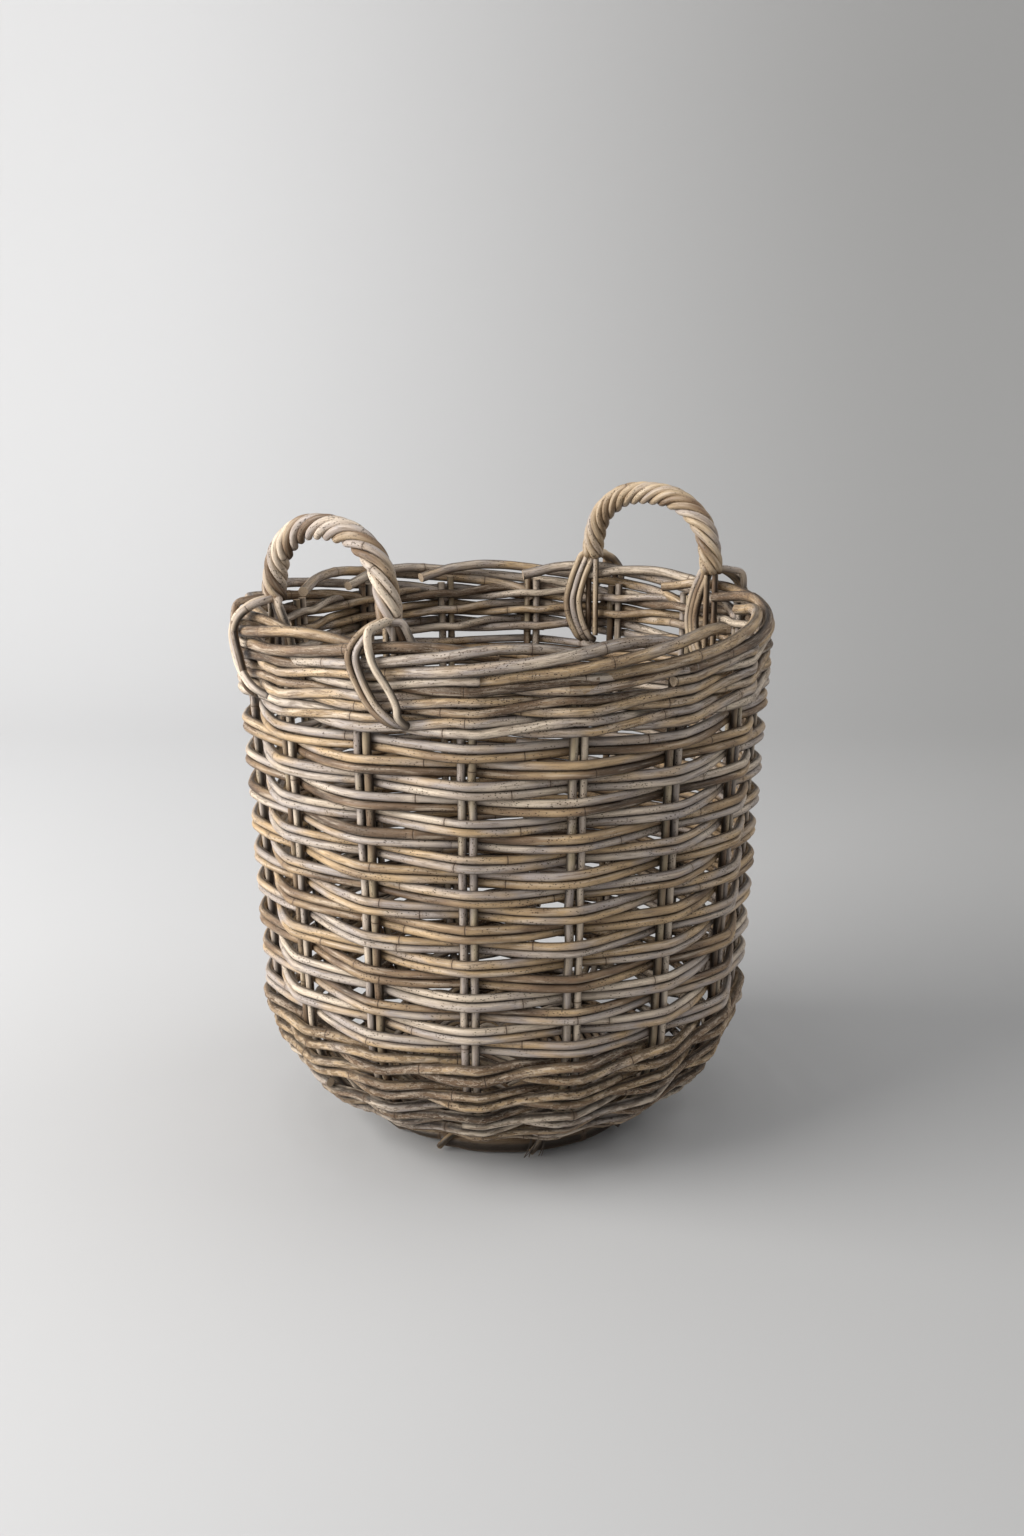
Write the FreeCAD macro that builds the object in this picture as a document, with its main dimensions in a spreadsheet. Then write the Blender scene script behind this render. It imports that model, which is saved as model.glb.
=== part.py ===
"""Round woven rattan laundry basket with two roped handles and a lashed foot hoop.

Sixteen pairs of upright stakes cross under the base and rise through the wall. Paired
canes weave the side in plain weave, three-rod wale rows shape the curved bottom and the
band below the rim, and a border closes the top. Millimetres, +Z up. The origin is the
centre of the foot hoop on the floor, and the handles stand on the X axis.
"""

import FreeCAD, Part

import math
import os

from FreeCAD import Placement, Rotation, Vector

DOC = FreeCAD.newDocument("laundry_basket")

# ---------------------------------------------------------------- driving dimensions

SIZES = [
    # alias, value, meaning
    ("stake_pairs", 16, "stake pairs round the wall"),
    ("stake_phase", -5.6, "angle from the +X handle axis to the nearest stake pair, deg"),
    ("stake_dia", 7.0, "stake cane diameter"),
    ("stake_spacing", 8.7, "centre distance of the two stakes of a pair"),
    ("wall_foot_radius", 208.0, "stake circle where the straight wall starts"),
    ("wall_foot_height", 146.0, "height where the straight wall starts"),
    ("shoulder_radius", 218.8, "stake circle under the rim band"),
    ("shoulder_height", 390.0, "height under the rim band"),
    ("rim_radius", 220.5, "stake circle at the rim"),
    ("stake_top", 464.9, "height of the stake ends"),
    ("base_radius", 114.0, "stake circle where the flat base ends"),
    ("base_height", 34.4, "stake centres over the flat base"),
    ("fan_radius", 60.0, "radius where the crossed stakes have fanned out"),
    ("slath_half", 34.0, "half width of the crossed centre of the base"),
    ("slath_spacing", 8.2, "spacing of the stakes in the crossed centre"),
    ("slath_layer", 3.6, "height of each crossed layer from the middle one"),
    ("weaver_dia", 7.0, "side weaver diameter"),
    ("weaver_offset", 7.65, "side weaver centre from the stake circle"),
    ("side_rows", 18, "paired rows in the side"),
    ("row_pitch", 14.615, "height from one paired row to the next"),
    ("top_row_height", 388.5, "middle of the highest paired row"),
    ("upsett_rows", 6, "wale rows round the curved bottom"),
    ("upsett_first", 12.7, "angle round the bend of the highest wale row, deg"),
    ("upsett_last", 83.0, "angle round the bend of the wale row next to the base, deg"),
    ("upsett_dia", 8.2, "upsett weaver diameter"),
    ("upsett_offset", 9.0, "upsett weaver centre from the stake line"),
    ("upsett_spread", 6.1, "half distance of the two strands in front"),
    ("rim_wale_rows", 3, "wale rows below the border"),
    ("rim_wale_first", 410.0, "middle height of the lowest rim wale row"),
    ("rim_wale_pitch", 16.0, "height from one rim wale row to the next"),
    ("rim_wale_dia", 7.0, "rim weaver diameter"),
    ("rim_wale_offset", 8.0, "rim weaver centre from the stake circle"),
    ("rim_wale_spread", 4.1, "half distance of the two strands in front"),
    ("border_height", 457.6, "middle height of the plaited border row"),
    ("border_cap_height", 468.9, "centre height of the cane that caps the border"),
    ("base_rows", 7, "rows of the base weave"),
    ("base_row_first", 62.0, "radius of the innermost base row"),
    ("base_row_pitch", 8.2, "radius from one base row to the next"),
    ("base_row_offset", 7.5, "base weaver centre above and below the stakes"),
    ("binding_radius", 48.0, "radius of the binding round the crossed centre"),
    ("binding_offset", 10.8, "binding centre above and below the stakes"),
    ("foot_hoop_radius", 116.0, "centre circle of the foot hoop"),
    ("foot_hoop_dia", 16.0, "thickness of the foot hoop"),
    ("foot_hoop_flat", 0.6, "depth worn flat under the foot hoop"),
    ("lashing_count", 8, "lashings on the foot hoop"),
    ("lashing_dia", 5.2, "lashing cane diameter"),
    ("handle_core_dia", 7.0, "handle core diameter"),
    ("handle_leg_radius", 203.3, "distance of the core legs from the basket's axis"),
    ("handle_leg_angle", 21.6, "angle of each leg from the handle axis, deg"),
    ("handle_leg_foot", 404.5, "height of the core ends inside the wall"),
    ("handle_top", 548.0, "core height at the top of the arch"),
    ("roping_start", 481.5, "height where the roping starts above the rim"),
    ("roping_strands", 6, "strands twisted round the core"),
    ("roping_dia", 5.4, "roping strand diameter"),
    ("roping_offset", 7.3, "strand centre from the core centre"),
    ("roping_turns", 3.4, "turns from one leg to the other"),
    ("loop_dia", 5.6, "cane diameter of the loops that tie the legs"),
    ("loop_bottom", 399.05, "height where the loops pass through the wall"),
    ("loop_top", 475.8, "height where the loops pass over the rim"),
    ("loop_inside", 196.1, "radius of the loops inside the wall"),
    ("loop_outside", 236.5, "radius of the loops outside the wall"),
    ("loop_beside", 1.83, "angle from the core to the loop on each side of it, deg"),
    ("loop_step", 1.68, "angle from there to the outermost loop, deg"),
    ("splice_gap", 3.0, "gap between the butted ends of a weaver"),
]

SHEET = DOC.addObject("Spreadsheet::Sheet", "Sizes")
for line, (alias, number, meaning) in enumerate(SIZES, start=1):
    SHEET.set("A%d" % line, alias)
    SHEET.set("B%d" % line, str(number))
    SHEET.setAlias("B%d" % line, alias)
    SHEET.set("C%d" % line, meaning)
DOC.recompute()


def size(alias):
    """Value of one cell of the sheet."""
    return float(SHEET.get(alias))


def count(alias):
    """Value of one cell that counts pieces."""
    return int(size(alias))


STEP = 360.0 / size("stake_pairs")
RUN_SHARE = 0.45
STRAIGHT = math.radians(0.05)

# ------------------------------------------------------------------------- paths


def polar(radius, angle, height, sideways=0.0):
    """Point at a radius, an angle in degrees and a height, moved sideways along the circle."""
    turn = math.radians(angle)
    outward = Vector(math.cos(turn), math.sin(turn), 0)
    along = Vector(-math.sin(turn), math.cos(turn), 0)
    return outward * radius + along * sideways + Vector(0, 0, height)


def corner_arc(before, corner, after, largest=None):
    """Start, middle and end of the arc that rounds one corner, or None where it is straight."""
    back = before - corner
    ahead = after - corner
    half_turn = (math.pi - back.getAngle(ahead)) / 2
    if half_turn < STRAIGHT:
        return None
    setback = RUN_SHARE * min(back.Length, ahead.Length)
    if largest is not None:
        setback = min(setback, largest * math.tan(half_turn))
    back.normalize()
    ahead.normalize()
    radius = setback / math.tan(half_turn)
    inward = (back + ahead).normalize()
    middle = corner + inward * (radius / math.cos(half_turn) - radius)
    return corner + back * setback, middle, corner + ahead * setback


def rounded_path(corners, largest=None):
    """Wire of straight runs joined by tangent arcs."""
    edges = []
    reached = corners[0]
    for before, corner, after in zip(corners, corners[1:], corners[2:]):
        arc = corner_arc(before, corner, after, largest)
        if arc is None:
            continue
        edges.append(Part.LineSegment(reached, arc[0]).toShape())
        edges.append(Part.Arc(*arc).toShape())
        reached = arc[2]
    edges.append(Part.LineSegment(reached, corners[-1]).toShape())
    return Part.Wire(edges)


def corners_through(places, passes=12):
    """Corners whose rounded turns pass through the given places."""
    corners = [Vector(place) for place in places]
    for _ in range(passes):
        moved = list(corners)
        for index in range(1, len(corners) - 1):
            arc = corner_arc(*corners[index - 1:index + 2])
            reached = corners[index] if arc is None else arc[1]
            moved[index] = corners[index] + places[index] - reached
        corners = moved
    return corners


# -------------------------------------------------------------- document objects


def cane(name, path, diameter):
    """Round cane swept along a path. The diameter is the name of a cell."""
    spine = DOC.addObject("Part::Feature", name + "_path")
    spine.Shape = path
    first = path.OrderedEdges[0]
    start = first.valueAt(first.FirstParameter)
    heading = first.tangentAt(first.FirstParameter)
    section = DOC.addObject("Part::Circle", name + "_section")
    section.setExpression("Radius", "Sizes.%s / 2" % diameter)
    section.Placement = Placement(start, Rotation(Vector(0, 0, 1), heading))
    sweep = DOC.addObject("Part::Sweep", name + "_cane")
    sweep.Sections = [section]
    sweep.Spine = (spine, ["Edge%d" % (edge + 1) for edge in range(len(path.Edges))])
    sweep.Solid = True
    sweep.Frenet = False
    return sweep


def ring(name, radius, height, diameter):
    """Closed cane hoop. The radius, height and diameter are expressions on the sheet."""
    hoop = DOC.addObject("Part::Torus", name + "_torus")
    hoop.setExpression("Radius1", radius)
    hoop.setExpression("Radius2", diameter + " / 2")
    hoop.setExpression("Placement.Base.z", height)
    return hoop


NODES = []


def node(name, pieces, turn="0"):
    """Named sub-part that holds one or more separate pieces, turned about the basket's axis."""
    group = DOC.addObject("Part::Compound", name)
    group.Label = name
    group.Links = pieces
    group.Placement = Placement(Vector(), Rotation(Vector(0, 0, 1), 0))
    group.setExpression("Placement.Rotation.Angle", "(%s) * 1 deg" % turn)
    NODES.append(group)
    return group


# The weave is drawn with the crossed base along X and Y, and with the stake pairs half a
# step to each side of them. This turn brings it to the stakes' place beside the handles.
WEAVE_TURN = "Sizes.stake_phase + 180 / Sizes.stake_pairs"


def stake_angle(index):
    """Angle of a stake pair, where the weave is drawn."""
    return STEP * (index - 0.5)


# ------------------------------------------------------------------------- stakes

BEND_WIDE = size("wall_foot_radius") - size("base_radius")
BEND_HIGH = size("wall_foot_height") - size("base_height")
BEND_STEPS = 8


def bend_place(angle):
    """Radius and height on the elliptical bend from wall (0 deg) to base (90 deg)."""
    turn = math.radians(angle)
    radius = size("base_radius") + BEND_WIDE * math.cos(turn)
    return radius, size("wall_foot_height") - BEND_HIGH * math.sin(turn)


def wall_radius(height):
    """Radius of the stake circle at a height."""
    if height < size("wall_foot_height"):
        drop = (size("wall_foot_height") - height) / BEND_HIGH
        return size("base_radius") + BEND_WIDE * math.sqrt(1 - drop * drop)
    low, radius_low = size("wall_foot_height"), size("wall_foot_radius")
    high, radius_high = size("shoulder_height"), size("shoulder_radius")
    if height > high:
        low, radius_low = high, radius_high
        high, radius_high = size("stake_top"), size("rim_radius")
    return radius_low + (radius_high - radius_low) * (height - low) / (high - low)


def half_stake(angle, sideways, slath_place, slath_height, quarter):
    """Places of one stake from the crossed centre of the base up to the rim."""
    crossed = Vector(size("slath_half"), slath_place, slath_height)
    places = [Rotation(Vector(0, 0, 1), quarter).multVec(crossed)]
    profile = [(size("fan_radius"), size("base_height"))]
    profile += [bend_place(90.0 * (1 - step / BEND_STEPS)) for step in range(BEND_STEPS + 1)]
    profile.append((size("shoulder_radius"), size("shoulder_height")))
    profile.append((size("rim_radius"), size("stake_top")))
    places += [polar(radius, angle + quarter, height, sideways) for radius, height in profile]
    return places


def stake_path(line, side, quarter, slath_height):
    """Path of one stake from rim to rim, across the base."""
    sign = 1 if line > 0 else -1
    angle = sign * STEP * (abs(line) - 0.5)
    sideways = side * size("stake_spacing") / 2
    slath_place = sign * size("slath_spacing") * (2 * abs(line) - 1)
    slath_place += side * size("slath_spacing") / 2
    near = half_stake(angle, sideways, slath_place, slath_height, quarter)
    far = half_stake(180 - angle, -sideways, slath_place, slath_height, quarter)
    crossed = Vector(-size("slath_half"), slath_place, slath_height)
    far[0] = Rotation(Vector(0, 0, 1), quarter).multVec(crossed)
    return rounded_path(corners_through(list(reversed(far)) + near))


def make_stakes():
    """Eight pairs of long stakes, each pair rising at two places of the wall."""
    number = 0
    for quarter, layer in ((0, -1), (90, 1)):
        slath_height = size("base_height") + layer * size("slath_layer")
        for line in (-2, -1, 1, 2):
            number += 1
            name = "stake_pair_%02d" % number
            pieces = []
            for letter, side in (("a", -1), ("b", 1)):
                path = stake_path(line, side, quarter, slath_height)
                pieces.append(cane(name + letter, path, "stake_dia"))
            node(name, pieces, WEAVE_TURN)


# --------------------------------------------------------------------- side weave


def plain_places(height, parity, first):
    """Places of a weaver that goes in front of one stake pair and behind the next."""
    radius = wall_radius(height)
    pairs = count("stake_pairs")
    offset = size("weaver_offset")
    gap = math.degrees(size("splice_gap") / radius)
    places = [polar(radius, stake_angle(first - 0.5), height)]
    for index in range(first, first + pairs):
        out = 1 if (index + parity) % 2 else -1
        places.append(polar(radius + out * offset, stake_angle(index), height))
    places.append(polar(radius, stake_angle(first + pairs - 0.5) - gap, height))
    return places


def make_side_weave():
    """Paired canes, each pair woven as one row."""
    for row in range(count("side_rows")):
        name = "side_weave_row_%02d" % (row + 1)
        middle = size("top_row_height") - row * size("row_pitch")
        pieces = []
        for letter, side in (("a", 1), ("b", -1)):
            height = middle + side * size("row_pitch") / 4
            first = 5 * row + (0 if side > 0 else 3)
            path = rounded_path(corners_through(plain_places(height, row, first)))
            pieces.append(cane(name + letter, path, "weaver_dia"))
        node(name, pieces, WEAVE_TURN)


# ---------------------------------------------------------------------- wale rows

# Where a three-rod wale strand lies, as shares of its offset (outwards) and of its spread
# (up the wall): at the two stake pairs it passes in front of and the one it passes behind,
# and halfway to the pair that follows each of them.
AT_STAKE = ((1, -1), (1, 1), (-1, 0))
HALFWAY = ((1, 0), (0, 1), (0, -1))


def wale_places(middle, outward, upward, offset, spread, strand, first):
    """Places of one strand of a wale row: in front of two stake pairs, behind the third."""
    half_steps = 2 * count("stake_pairs")
    gap = math.degrees(size("splice_gap") / middle[0])
    places = []
    for half in range(1, half_steps + 2):
        phase = (half // 2 + strand) % 3
        out, up = HALFWAY[phase] if half % 2 else AT_STAKE[phase]
        radius = middle[0] + out * offset * outward[0] + up * spread * upward[0]
        height = middle[1] + out * offset * outward[1] + up * spread * upward[1]
        angle = stake_angle(first + half / 2.0)
        if half == half_steps + 1:
            angle -= gap
        places.append(polar(radius, angle, height))
    return places


def make_wale_row(name, middle, outward, upward, cells, first):
    """One three-rod wale row. Cells names the diameter, offset and spread."""
    diameter, offset, spread = cells
    pieces = []
    for strand, letter in enumerate("abc"):
        places = wale_places(middle, outward, upward, size(offset), size(spread), strand, first)
        pieces.append(cane(name + letter, rounded_path(corners_through(places)), diameter))
    node(name, pieces, WEAVE_TURN)


def make_upsett():
    """Wale rows that turn the base up into the wall."""
    rows = count("upsett_rows")
    first, last = size("upsett_first"), size("upsett_last")
    for row in range(rows):
        angle = first + (last - first) * row / (rows - 1)
        turn = math.radians(angle)
        outward = Vector(math.cos(turn) / BEND_WIDE, -math.sin(turn) / BEND_HIGH, 0).normalize()
        upward = Vector(math.sin(turn) * BEND_WIDE, math.cos(turn) * BEND_HIGH, 0).normalize()
        cells = ("upsett_dia", "upsett_offset", "upsett_spread")
        name = "upsett_wale_row_%d" % (row + 1)
        make_wale_row(name, bend_place(angle), outward, upward, cells, 4 * row)


def make_rim():
    """Wale rows below the rim, the plaited border row and the cane that caps it."""
    cells = ("rim_wale_dia", "rim_wale_offset", "rim_wale_spread")
    rows = [("rim_wale_row_%d" % (row + 1), size("rim_wale_first") + row * size("rim_wale_pitch"))
            for row in range(count("rim_wale_rows"))]
    rows.append(("border_plait", size("border_height")))
    for place, (name, height) in enumerate(rows):
        middle = (wall_radius(height), height)
        make_wale_row(name, middle, (1, 0), (0, 1), cells, 5 * place)
    cap = ring("border_cap", "Sizes.rim_radius", "Sizes.border_cap_height", "Sizes.rim_wale_dia")
    node("border_cap", [cap])


# --------------------------------------------------------------------------- base


def make_base():
    """Twined rows of the base, each an upper and a lower strand, and the centre binding."""
    rows = [("base_binding", "Sizes.binding_radius", "Sizes.binding_offset")]
    for row in range(count("base_rows")):
        radius = "Sizes.base_row_first + %d * Sizes.base_row_pitch" % row
        rows.append(("base_weave_row_%d" % (row + 1), radius, "Sizes.base_row_offset"))
    for name, radius, offset in rows:
        pieces = []
        for letter, sign in (("a", "+"), ("b", "-")):
            height = "Sizes.base_height %s %s" % (sign, offset)
            pieces.append(ring(name + letter, radius, height, "Sizes.weaver_dia"))
        node(name, pieces)


def make_foot():
    """Thick hoop under the base, worn flat below, and the lashings that hold it."""
    lift = "Sizes.foot_hoop_dia / 2 - Sizes.foot_hoop_flat"
    hoop = ring("foot", "Sizes.foot_hoop_radius", lift, "Sizes.foot_hoop_dia")
    floor = DOC.addObject("Part::Box", "foot_flat")
    for side in ("Length", "Width"):
        floor.setExpression(side, "4 * Sizes.foot_hoop_radius")
    floor.setExpression("Height", "Sizes.foot_hoop_dia")
    floor.setExpression("Placement.Base.x", "-2 * Sizes.foot_hoop_radius")
    floor.setExpression("Placement.Base.y", "-2 * Sizes.foot_hoop_radius")
    floor.setExpression("Placement.Base.z", "-Sizes.foot_hoop_dia")
    flat_hoop = DOC.addObject("Part::Cut", "foot_cut")
    flat_hoop.Base = hoop
    flat_hoop.Tool = floor
    node("foot_hoop", [flat_hoop])

    clear = 0.4
    reach = (size("foot_hoop_dia") + size("lashing_dia")) / 2 + clear
    middle = size("foot_hoop_radius")
    low = size("lashing_dia") / 2 + clear
    high = size("foot_hoop_dia") / 2 - size("foot_hoop_flat") + reach
    pieces = []
    for lashing in range(count("lashing_count")):
        angle = stake_angle(2 * lashing)
        corners = [polar(middle - reach, angle, low), polar(middle - reach, angle, high),
                   polar(middle + reach, angle, high), polar(middle + reach, angle, low)]
        name = "lashing_%d" % (lashing + 1)
        pieces.append(cane(name, rounded_path(corners), "lashing_dia"))
    node("foot_lashings", pieces, WEAVE_TURN)


# ------------------------------------------------------------------------ handles

# Shape of the arch above the rim: sideways place as a share of the leg's, and height as a
# share of the way from the rim to the top.
ARCH = ((1.0, 0.0), (0.985, 0.25), (0.87, 0.62), (0.52, 0.91), (0.0, 1.0))


def arch_corners():
    """Corners of the core from one foot, over the arch, to the other."""
    leg = polar(size("handle_leg_radius"), size("handle_leg_angle"), 0)
    low = size("loop_top")
    rise = size("handle_top") - low
    half = [Vector(leg.x, leg.y, size("handle_leg_foot"))]
    half += [Vector(leg.x, leg.y * side, low + rise * up) for side, up in ARCH]
    mirrored = [Vector(place.x, -place.y, place.z) for place in reversed(half[:-1])]
    return corners_through(half + mirrored)


def roping_corners(core_path, strand):
    """Corners of one strand twisted round the part of the core above the rim."""
    per_turn = 12
    points = [place for place in core_path.discretize(Distance=1.0)
              if place.z >= size("roping_start")]
    stations = int(size("roping_turns") * per_turn)
    corners = []
    for station in range(stations + 1):
        share = station / stations
        index = round(share * (len(points) - 1))
        ahead = points[min(index + 2, len(points) - 1)]
        behind = points[max(index - 2, 0)]
        across = Vector(1, 0, 0)
        outward = across.cross((ahead - behind).normalize())
        turn = 2 * math.pi * (share * size("roping_turns") + strand / size("roping_strands"))
        around = across * math.cos(turn) + outward * math.sin(turn)
        corners.append(points[index] + around * size("roping_offset"))
    return corners


def make_handle(name, turn):
    """One fixed roped handle: core, twisted strands and the loops that tie its legs."""
    core_path = rounded_path(arch_corners())
    node(name + "_core", [cane(name + "_core", core_path, "handle_core_dia")], turn)

    strands = []
    for strand in range(count("roping_strands")):
        path = rounded_path(roping_corners(core_path, strand))
        strands.append(cane("%s_roping_%d" % (name, strand + 1), path, "roping_dia"))
    node(name + "_roping", strands, turn)

    bottom, top = size("loop_bottom"), size("loop_top")
    inside, outside = size("loop_inside"), size("loop_outside")
    end_gap = 4.0
    profile = [(inside, (bottom + top) / 2 + end_gap), (inside, top), (outside, top),
               (outside, bottom), (inside, bottom), (inside, (bottom + top) / 2 - end_gap)]
    beside, outermost = size("loop_beside"), size("loop_beside") + size("loop_step")
    for leg, side in (("left", -1), ("right", 1)):
        loops = []
        for number, place in enumerate((-beside, beside, outermost), start=1):
            angle = side * (size("handle_leg_angle") + place)
            corners = [polar(radius, angle, height) for radius, height in profile]
            path = rounded_path(corners, largest=0.6 * size("loop_dia"))
            loops.append(cane("%s_%s_loop_%d" % (name, leg, number), path, "loop_dia"))
        node("%s_%s_leg_loops" % (name, leg), loops, turn)


# -------------------------------------------------------------------------- build

make_stakes()
make_side_weave()
make_upsett()
make_rim()
make_base()
make_foot()
make_handle("handle_a", "0")
make_handle("handle_b", "180")
DOC.recompute()

failed = [item.Name for item in DOC.Objects if "Invalid" in item.State or "Error" in item.State]
if failed:
    raise RuntimeError("objects that failed: %s" % ", ".join(failed))
for group in NODES:
    if group.Shape.isNull() or not group.Shape.isValid():
        raise RuntimeError("bad shape: " + group.Label)

os.makedirs("parts", exist_ok=True)
for group in NODES:
    group.Shape.exportStep("parts/%s.step" % group.Label)
    print("%-24s %2d solids %10.0f mm3" % (group.Label, len(group.Shape.Solids), group.Shape.Volume))
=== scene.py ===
"""Looks of the round woven rattan laundry basket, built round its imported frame.

Sizes are millimetres in the basket's own frame: +Z up, the origin in the centre of the foot on
the floor, one handle on +X and one on -X. Meshes are made in metres. Every cane is a line of
places that one Geometry Nodes tree sweeps into a natural rattan cane, with its knuckles, its
uneven thickness and its bark, and one family of shaders colours them by cane.
"""

import logging
import math
from dataclasses import dataclass
from enum import Enum

import bpy
import numpy as np
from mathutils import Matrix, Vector


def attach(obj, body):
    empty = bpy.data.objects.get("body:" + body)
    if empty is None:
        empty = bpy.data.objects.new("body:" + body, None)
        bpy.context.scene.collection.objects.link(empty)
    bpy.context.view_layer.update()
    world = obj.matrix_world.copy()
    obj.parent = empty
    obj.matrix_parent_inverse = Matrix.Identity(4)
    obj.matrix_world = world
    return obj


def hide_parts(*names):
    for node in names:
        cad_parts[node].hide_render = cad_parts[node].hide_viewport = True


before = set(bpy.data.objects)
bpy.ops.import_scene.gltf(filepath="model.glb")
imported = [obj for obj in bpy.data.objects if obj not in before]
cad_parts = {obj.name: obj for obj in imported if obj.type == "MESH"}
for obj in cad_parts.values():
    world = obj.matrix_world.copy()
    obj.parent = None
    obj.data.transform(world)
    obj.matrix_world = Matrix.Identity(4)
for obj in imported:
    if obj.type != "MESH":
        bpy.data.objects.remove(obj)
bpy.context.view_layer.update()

LOG = logging.getLogger("basket")
MM = 0.001
BODY = "root"

Colour = tuple[float, float, float]
Place = tuple[float, float, float]


# ------------------------------------------------------------------------- node trees


class Value:
    """A socket whose number or vector takes part in Python expressions."""

    def __init__(self, trees: "Tree", socket: bpy.types.NodeSocket) -> None:
        """Wraps one output socket of a tree."""
        self.trees = trees
        self.socket = socket

    def __add__(self, other: "Value | float") -> "Value":
        """Sum."""
        return self.trees.math("ADD", self, other)

    def __radd__(self, other: float) -> "Value":
        """Sum with a number in front."""
        return self.trees.math("ADD", other, self)

    def __sub__(self, other: "Value | float") -> "Value":
        """Difference."""
        return self.trees.math("SUBTRACT", self, other)

    def __rsub__(self, other: float) -> "Value":
        """Difference from a number."""
        return self.trees.math("SUBTRACT", other, self)

    def __mul__(self, other: "Value | float") -> "Value":
        """Product."""
        return self.trees.math("MULTIPLY", self, other)

    def __rmul__(self, other: float) -> "Value":
        """Product with a number in front."""
        return self.trees.math("MULTIPLY", other, self)

    def __truediv__(self, other: "Value | float") -> "Value":
        """Quotient."""
        return self.trees.math("DIVIDE", self, other)

    def step(self, low: float, high: float, start: float = 0.0, end: float = 1.0) -> "Value":
        """Smooth step from one value to another.

        Args:
            low: where the step begins.
            high: where the step ends.
            start: value below the step.
            end: value above the step.

        Returns:
            The stepped value.
        """
        return self.trees.made("ShaderNodeMapRange",
                               {0: self, 1: low, 2: high, 3: start, 4: end},
                               interpolation_type="SMOOTHSTEP")

    def stretched(self, along: float, across: float) -> "Value":
        """Cane coordinates scaled along the cane and across it."""
        return self.trees.vector("MULTIPLY", self, (along, across, across))

    def shifted(self, other: "Value", share: Place) -> "Value":
        """Cane coordinates moved by a number times a vector, so that each cane differs."""
        return self.trees.vector("ADD", self, self.trees.vector("SCALE", share, other))


class Tree:
    """Makes the nodes of one node tree."""

    def __init__(self, tree: bpy.types.NodeTree) -> None:
        """Starts on an empty tree."""
        self.tree = tree

    def add(self, kind: str, values: dict | None = None, **settings: object) -> bpy.types.Node:
        """Adds one node of any type.

        Args:
            kind: the node's type.
            values: numbers, vectors or sockets for its inputs, by name or place.
            settings: the node's own settings, which are set first.

        Returns:
            The node.
        """
        node = self.tree.nodes.new(kind)
        stops = settings.pop("stops", None)
        for name, setting in settings.items():
            setattr(node, name, setting)
        if stops is not None:
            elements = node.color_ramp.elements
            while len(elements) < len(stops):
                elements.new(1.0)
            for element, (place, colour) in zip(elements, stops):
                element.position = place
                element.color = (*colour, 1.0)
        for key, value in (values or {}).items():
            socket = node.inputs[key]
            if isinstance(value, Value):
                self.tree.links.new(value.socket, socket)
            else:
                socket.default_value = value
        return node

    def out(self, node: bpy.types.Node, name: str | None = None) -> Value:
        """One output of a node.

        Args:
            node: the node.
            name: the output's name, or nothing for the first that is in use.

        Returns:
            The output.
        """
        shown = [socket for socket in node.outputs if socket.enabled]
        found = [socket for socket in shown if name in (None, socket.name)]
        return Value(self, found[0])

    def made(self, kind: str, values: dict | None = None, **settings: object) -> Value:
        """First output of a new node."""
        return self.out(self.add(kind, values, **settings))

    def math(self, operation: str, *values: Value | float) -> Value:
        """One Math node on the values, in order."""
        return self.made("ShaderNodeMath", dict(enumerate(values)), operation=operation)

    def vector(self, operation: str, first: Value | Place,
               second: Value | Place | None = None) -> Value:
        """One Vector Math node.

        Args:
            operation: what the node does, such as SCALE.
            first: its first vector.
            second: its second vector, or the factor of SCALE.

        Returns:
            The node's result, which is a number for DOT_PRODUCT and LENGTH.
        """
        values = {0: first}
        if second is not None:
            values["Scale" if operation == "SCALE" else 1] = second
        node = self.add("ShaderNodeVectorMath", values, operation=operation)
        return self.out(node, "Value" if operation in ("DOT_PRODUCT", "LENGTH") else "Vector")


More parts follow.
